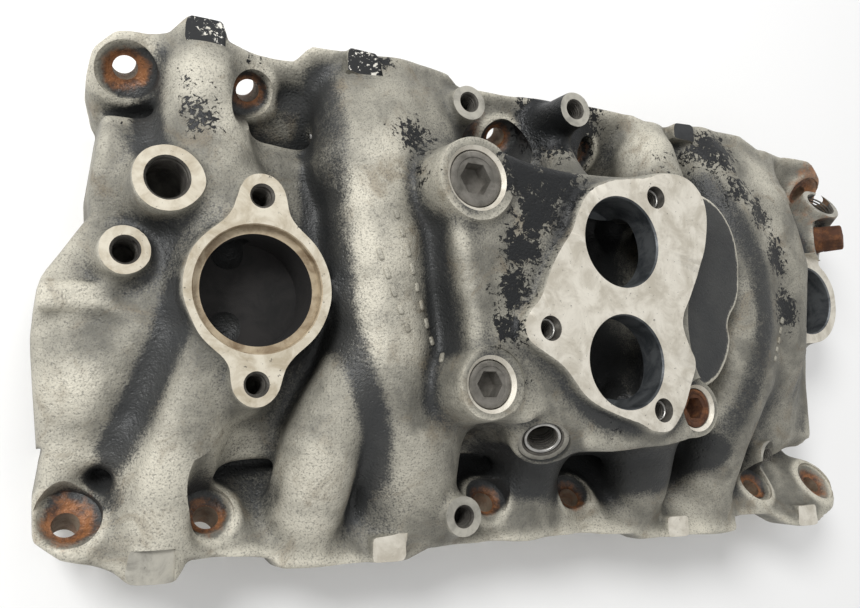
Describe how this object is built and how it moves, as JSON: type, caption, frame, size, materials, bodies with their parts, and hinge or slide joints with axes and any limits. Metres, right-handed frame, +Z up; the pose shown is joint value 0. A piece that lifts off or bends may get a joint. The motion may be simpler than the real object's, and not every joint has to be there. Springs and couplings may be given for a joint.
{
  "type": "intake manifold",
  "caption": "Cast-aluminium V-engine intake manifold with two round throttle bores, thermostat housing, sloped head flanges, threaded plugs and a riveted splash shield.",
  "frame": {"origin": "bottom centre of the casting, level with the feet of its head flanges", "axes": "+X towards the rear of the engine, +Y towards the right-hand cylinder bank, +Z up through the throttle bores"},
  "size_m": [0.472, 0.237, 0.0938],
  "materials": {
    "cast_aluminium": "weathered sand casting with machined faces",
    "plug_steel": "dull plated steel",
    "rusty_steel": "rusted",
    "bright_steel": "bright threads",
    "shield_steel": "oily mild steel sheet"
  },
  "bodies": {
    "root": {"manifold_casting": "cast_aluminium", "front_right_socket_plug": "plug_steel", "front_left_socket_plug": "plug_steel", "rear_left_socket_plug": "rusty_steel", "rear_square_head_plug": "rusty_steel", "throttle_stud_insert_1": "bright_steel", "throttle_stud_insert_2": "bright_steel", "throttle_stud_insert_3": "bright_steel", "side_port_sleeve": "bright_steel", "splash_shield": "shield_steel", "splash_shield_rivet_1": "shield_steel", "splash_shield_rivet_2": "shield_steel", "splash_shield_rivet_3": "shield_steel", "splash_shield_rivet_4": "shield_steel"}
  },
  "joints": []
}
